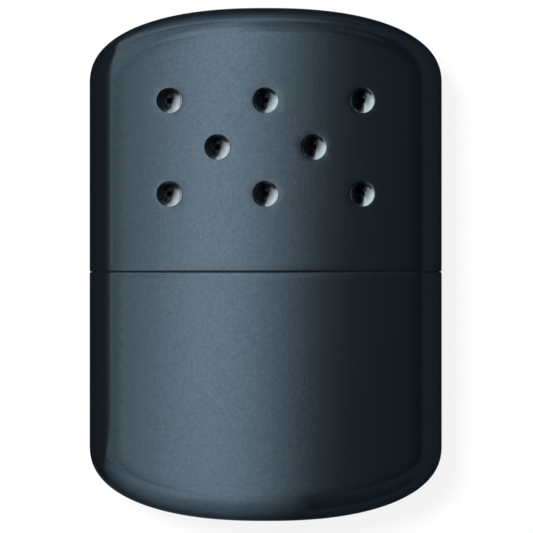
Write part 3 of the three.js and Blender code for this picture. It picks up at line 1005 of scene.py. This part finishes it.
def add_strand(points, faces, line):
    """Adds one square wire along a line of points."""
    start = len(points)
    last = len(line) - 1
    for i, p in enumerate(line):
        ahead = (line[min(i + 1, last)] - line[max(i - 1, 0)]).normalized()
        side = ahead.cross(Vector((0, 1, 0))).normalized()
        over = side.cross(ahead)
        for k in range(WIRE_SIDES):
            angle = math.pi / 2 * k
            out = side * math.cos(angle) + over * math.sin(angle)
            points.append(tuple(p + out * WIRE_RADIUS))
    end = len(points) - WIRE_SIDES
    for a in range(start, end, WIRE_SIDES):
        faces += band(a, a + WIRE_SIDES, WIRE_SIDES)
    faces.append(tuple(start + k for k in reversed(range(WIRE_SIDES))))
    faces.append(tuple(end + k for k in range(WIRE_SIDES)))


def weave(field):
    """Points and faces of wires that cross inside an oval field. Both sets rise and
    fall alike from one crossing to the next, so they meet where they cross."""
    points, faces = [], []
    half_width = lambda z: BURNER_STRAIGHT + math.sqrt(max(field ** 2 - z ** 2, 0))
    past = lambda x: max(0.0, abs(x) - BURNER_STRAIGHT)
    half_height = lambda x: math.sqrt(max(field ** 2 - past(x) ** 2, 0))
    for reach, spread, order in (
        (half_width, field, (0, 1, 2)), (half_height, BURNER_STRAIGHT + field, (2, 1, 0))
    ):
        count = int(spread / GAUZE_PITCH)
        for number in range(-count, count + 1):
            across = number * GAUZE_PITCH
            crossings = int(reach(across) / GAUZE_PITCH)
            if crossings < 1:
                continue
            sign = 1 if number % 2 else -1
            line = []
            for k in range(-2 * crossings, 2 * crossings + 1):
                height = sign * WIRE_RADIUS * math.cos(math.pi * k / 2)
                ordered = (k * GAUZE_PITCH / 2, height, across)
                line.append(Vector([ordered[axis] for axis in order]))
            add_strand(points, faces, line)
    return points, faces


def gauze():
    """Crossing wires in a flat rim."""
    low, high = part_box("gauze_screen")
    middle_y, thick = (low.y + high.y) / 2, (high.y - low.y) / 2
    half = (high.z - low.z) / 2
    field = half - GAUZE_RIM
    points, faces = weave(field)
    placed = np.array(points) + np.array(MIDDLE) + np.array((0, middle_y, 0))
    woven = mesh_object("gauze_weave", placed, faces)
    woven.data.materials.append(WIRE)
    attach(woven, "burner")
    outer, inner = half - GAUZE_RIM_GAP, field - GAUZE_RIM_LAP
    corners = section(outer, inner, middle_y - thick, middle_y + thick)
    outline = rounded(corners, GAUZE_RIM_ROUND)
    rim = sweep("gauze_screen_visual", oval_rings(BURNER_STRAIGHT, outline))
    stands_for(rim, "gauze_screen", "wire_gauze", "burner", STEEL)


def solid_copy(node, name):
    return retouch(linked(name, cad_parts[node].data.copy()), weld=True)


def clips():
    """The spring clips, with softened edges."""
    for side in ("left", "right"):
        node = f"grip_clip_{side}"
        clip = solid_copy(node, f"{node}_visual")
        tool = clip.modifiers.new("soften", "BEVEL")
        tool.width = 0.05 * MM
        tool.segments = 2
        tool.angle_limit = math.radians(40)
        apply_modifiers(clip)
        stands_for(crease(clip), node, "spring_steel", "burner", SPRING)


def roughened(made, size, depth, seed):
    """Moves each point along its normal by soft noise, always inwards."""
    mesh = made.data
    shift = Vector((seed * 0.37, seed * 0.11, seed * 0.23))
    decay, lacunarity, octaves = 0.6, 2.1, 3
    moved = []
    for vertex in mesh.vertices:
        amount = 0.5 + 0.5 * noise.fractal(vertex.co / size + shift, decay, lacunarity, octaves)
        moved.append(vertex.co - vertex.normal * depth * min(max(amount, 0.0), 1.0))
    for vertex, moved_to in zip(mesh.vertices, moved):
        vertex.co = moved_to
    mesh.update()


def soft_piece(node, name, voxel, lumps, material, slot, body):
    """A soft solid, cut finely and evenly and then roughened by lumps, each with a
    size, a depth and a seed. Lengths are in millimetres."""
    made = solid_copy(node, name + "_visual")
    tool = made.modifiers.new("even", "REMESH")
    tool.mode = "VOXEL"
    tool.voxel_size = voxel * MM
    settle = made.modifiers.new("settle", "SMOOTH")
    settle.iterations = 6
    apply_modifiers(made)
    made.data.shade_smooth()
    for size, depth, seed in lumps:
        roughened(made, size * MM, depth * MM, seed)
    stands_for(made, node, slot, body, material)


def catalyst():
    cloth, wool = "catalyst_cloth", "glass_wool"
    soft_piece(cloth, cloth, 0.2, [(1.1, 0.06, 3)], CLOTH, cloth, "burner")
    soft_piece(wool + "_core", wool, 0.3, [(1.4, 0.15, 5)], WOOL, wool, "burner")


def cotton():
    for i in (1, 2, 3):
        node = f"cotton_wad_{i}"
        lumps = ((3.2, 0.9, 10 + i), (1.1, 0.3, 20 + i))
        soft_piece(node, node, 0.6, lumps, COTTON, "cotton", "tank")


skirt()
gauze()
cage()
catalyst()
pins()
clips()
cotton()

# Floor, light and camera, in metres

FLOOR_RADIUS = 1.6
FLOOR_RINGS = (0.2, 0.6)
FLOOR_SIDES = 64
FLOOR_DROP = 0.05 * MM
FLOOR_GLOW = 0.86
WALL_HEIGHT = 0.5
WALL_STEPS = 8

PANEL_HEIGHT = 0.9
STRIP_LEAN = math.radians(-5)
# An area lamp's power for each unit of radiance and square metre
LAMP_POWER = 4

# Panels overhead: name, reach in x and in y, radiance, turn and height. The first
# ones lean with the bright band on the face. Lamps in one plane don't add up where
# they overlap, so the low one hangs a little lower.
PANELS = (
    ("strip_core", (-0.15, -0.02), (-0.12, 0.35), 1.95, STRIP_LEAN),
    ("strip_wide", (-0.24, 0.05), (-0.33, 0.35), 0.8, STRIP_LEAN),
    ("strip_low", (-0.15, 0.0), (-0.33, -0.12), 0.85, STRIP_LEAN, 0.895),
    ("strip_mid", (-0.24, -0.02), (0.35, 0.8), 1.75),
    ("strip_far", (-0.24, -0.04), (0.8, 4.8), 1.25),
    ("strip_edge", (-0.04, 0.14), (0.35, 4.8), 0.36),
    ("strip_side", (0.14, 0.5), (0.8, 4.8), 0.1),
    ("left_panel", (-0.6, -0.24), (-0.33, 0.15), 0.48),
    ("low_panel", (-0.6, -0.11), (-0.6, -0.33), 0.62),
    ("gap_panel", (-2.2, -0.6), (-0.1, 0.15), 0.65),
    ("low_side_panel", (-2.2, -0.6), (-0.5, -0.1), 0.45),
    ("side_panel", (-2.2, -0.24), (0.15, 2.2), 0.75),
)

# Low cards round the case: name, outline, radiance and fades. A fade has an axis,
# two places along it and the shares of brightness there. The cards at the ends are
# bright over their left part, the left ones are dim and the right ones nearly dark.
LEFT, RIGHT = -0.06, 0.06
LOW, HIGH = -0.053, 0.125
INSIDE_LOW = LOW + MM
UNDER = -FLOOR_DROP / 2
MIDDLE_FADE = (-0.0075, 0.0095)
RIGHT_FADE = (-0.004, 0.03)
LEFT_CARD = (
    (-0.04, -0.055, 0), (-0.04, 0.062, 0), (-0.04, 0.052, 0.017), (-0.04, 0.04, 0.0245),
    (-0.04, -0.031, 0.0245), (-0.04, -0.04, 0.0165), (-0.04, -0.05, 0.006),
)
CARDS = (
    ("left_card", LEFT_CARD, 0.3, ("Z", (0.017, 0.026), (0.08, 1))),
    ("left_far_card", ((LEFT, LEFT, 0), (LEFT, 0.075, 0.021)), 0.35,
     ("Y", (-0.045, -0.03), (1, 0.29))),
    ("right_card", ((0.04, LEFT, 0), (0.04, HIGH, 0.0235)), 0.09),
    ("lower_card", ((-0.085, LOW, 0), (RIGHT, LOW, 0.043)), 1.65,
     ("Z", (0.007, 0.028), (0.18, 1)), ("X", MIDDLE_FADE, (1, 0.045)),
     ("X", (-0.043, -0.021), (0.45, 1)), ("X", (-0.075, -0.043), (0.1, 1))),
    ("upper_card", ((LEFT, HIGH, 0), (RIGHT, HIGH, 0.04)), 1.5,
     ("Z", (0.006, 0.036), (0.3, 1)), ("X", RIGHT_FADE, (1, 0.12))),
    ("right_low_card", ((0.0055, INSIDE_LOW, 0), (RIGHT, INSIDE_LOW, 0.013)), 0.1),
    ("under_low", ((LEFT, -0.12, UNDER), (RIGHT, -0.041, UNDER)), 0.27,
     ("X", MIDDLE_FADE, (1, 0.4))),
    ("under_middle", ((LEFT, -0.041, UNDER), (RIGHT, 0.05, UNDER)), 0.09),
    ("under_high", ((LEFT, 0.05, UNDER), (RIGHT, HIGH, UNDER)), 0.85,
     ("Y", (0.06, 0.125), (0.12, 0.7)), ("X", RIGHT_FADE, (1, 0.3))),
)


def mix_shaders(tree, share, first, second):
    """A shader that turns from the first into the second with a share."""
    sockets = {1: first.outputs[0], 2: second.outputs[0]}
    return feed(tree, add(tree, "ShaderNodeMixShader", Fac=share), sockets)


def floor_material():
    """White that is shaded by the light where it counts, and glows where it is seen,
    with a painted contact shadow that dims the glow close round the case. From below it is clear."""
    made, tree, shader = nodes_of("pale_floor")
    tree.nodes.remove(shader)
    white = add(tree, "ShaderNodeBsdfDiffuse", Color=(0.93, 0.93, 0.93, 1))
    # Painted contact shadow: the glow dims where the case lies close above the floor
    open_above = add(tree, "ShaderNodeAmbientOcclusion", Distance=3 * MM, samples=6)
    contact = calc(tree, "POWER", open_above.outputs["AO"], 4.0)
    glow = add(tree, "ShaderNodeEmission", Color=(1, 1, 1, 1), Strength=contact)
    rays = add(tree, "ShaderNodeLightPath").outputs
    seen = calc(tree, "MAXIMUM", rays["Is Camera Ray"], rays["Is Glossy Ray"])
    seen = calc(tree, "MAXIMUM", seen, rays["Is Transmission Ray"])
    lit = mix_shaders(tree, calc(tree, "MULTIPLY", seen, FLOOR_GLOW), white, glow)
    behind = add(tree, "ShaderNodeNewGeometry").outputs["Backfacing"]
    sided = mix_shaders(tree, behind, lit, add(tree, "ShaderNodeBsdfTransparent"))
    feed(tree, tree.nodes["Material Output"], {"Surface": sided.outputs[0]})
    return made


def floor():
    """A round pale floor that turns up into a low wall."""
    flat = FLOOR_RADIUS - WALL_HEIGHT
    profile = [(radius, -FLOOR_DROP) for radius in (*FLOOR_RINGS, flat)]
    for angle in arc(WALL_STEPS, 1):
        height = WALL_HEIGHT * (1 - math.cos(angle)) - FLOOR_DROP
        profile.append((flat + WALL_HEIGHT * math.sin(angle), height))
    points, faces = stack(0, 0, profile, FLOOR_SIDES)
    made = mesh_object("floor", points, [range(FLOOR_SIDES), *faces])
    made.data.materials.append(floor_material())


def softbox(name, x_range, y_range, radiance, turn=0.0, height=PANEL_HEIGHT):
    """A flat lit panel that faces straight down, turned about the object's middle."""
    data = bpy.data.lights.new(name, "AREA")
    data.shape = "RECTANGLE"
    data.size = x_range[1] - x_range[0]
    data.size_y = y_range[1] - y_range[0]
    data.energy = radiance * LAMP_POWER * data.size * data.size_y
    x, y = sum(x_range) / 2, sum(y_range) / 2
    made = linked(name, data)
    made.location = (
        x * math.cos(turn) - y * math.sin(turn), x * math.sin(turn) + y * math.cos(turn), height
    )
    made.rotation_euler.z = turn


def key_light():
    """Soft slanting light on what isn't metal, and on the floor."""
    data = bpy.data.lights.new("key", "SUN")
    data.energy = 2.8
    data.angle = math.radians(16)
    made = linked("key", data)
    made.rotation_mode = "QUATERNION"
    made.rotation_quaternion = Vector((0.45, -0.4, -0.8)).to_track_quat("-Z", "Y")
    made.visible_glossy = False


def rectangle(low, high):
    """Corners of a rectangle between two opposite ones that share one coordinate."""
    (x0, y0, z0), (x1, y1, z1) = low, high
    if x0 == x1:
        return [(x0, y0, z0), (x0, y1, z0), (x0, y1, z1), (x0, y0, z1)]
    return [(x0, y0, z0), (x1, y0, z0), (x1, y1, z1), (x0, y1, z1)]


def card(name, outline, radiance, *fades):
    """A flat card that only reflections see. Its outline is given by its corners, or
    by two opposite ones of a rectangle."""
    corners = rectangle(*outline) if len(outline) == 2 else outline
    made = mesh_object(name, corners, [range(len(corners))], smooth=False)
    material, tree, shader = nodes_of(name)
    tree.nodes.remove(shader)
    strength = radiance
    for axis, span, shares in fades:
        share = between(tree, along(tree, axis), *shares, span)
        strength = calc(tree, "MULTIPLY", share, strength)
    glow = add(tree, "ShaderNodeEmission", Color=(0.95, 1.0, 1.05, 1), Strength=strength)
    feed(tree, tree.nodes["Material Output"], {"Surface": glow.outputs[0]})
    made.data.materials.append(material)
    for ray in ("camera", "diffuse", "shadow", "transmission", "volume_scatter"):
        setattr(made, f"visible_{ray}", False)


def lights():
    """Panels overhead, a slanting sun, low cards and a dark bluish room."""
    for row in PANELS:
        softbox(*row)
    key_light()
    for row in CARDS:
        card(*row)
    world = bpy.data.worlds.new("room")
    world.use_nodes = True
    sky = world.node_tree.nodes["Background"]
    feed(world.node_tree, sky, {"Color": (0.78, 0.88, 1.1, 1), "Strength": 0.004})
    bpy.context.scene.world = world


def camera():
    """Straight down on the front face, with the cap's end at the top of the frame.
    The frame's width and the case's place in it follow the photograph."""
    pixel = 1 / 5.176 * MM
    frame_width = 533 * pixel
    data = bpy.data.cameras.new("camera")
    data.lens = 135
    data.clip_start = 0.01
    data.clip_end = 10
    distance = frame_width * data.lens / data.sensor_width
    made = linked("camera", data)
    made.location = (0.8 * pixel, -2.0 * pixel, HALF_THICK + distance)
    bpy.context.scene.camera = made


floor()
lights()
camera()
bpy.context.scene.view_settings.view_transform = "Standard"
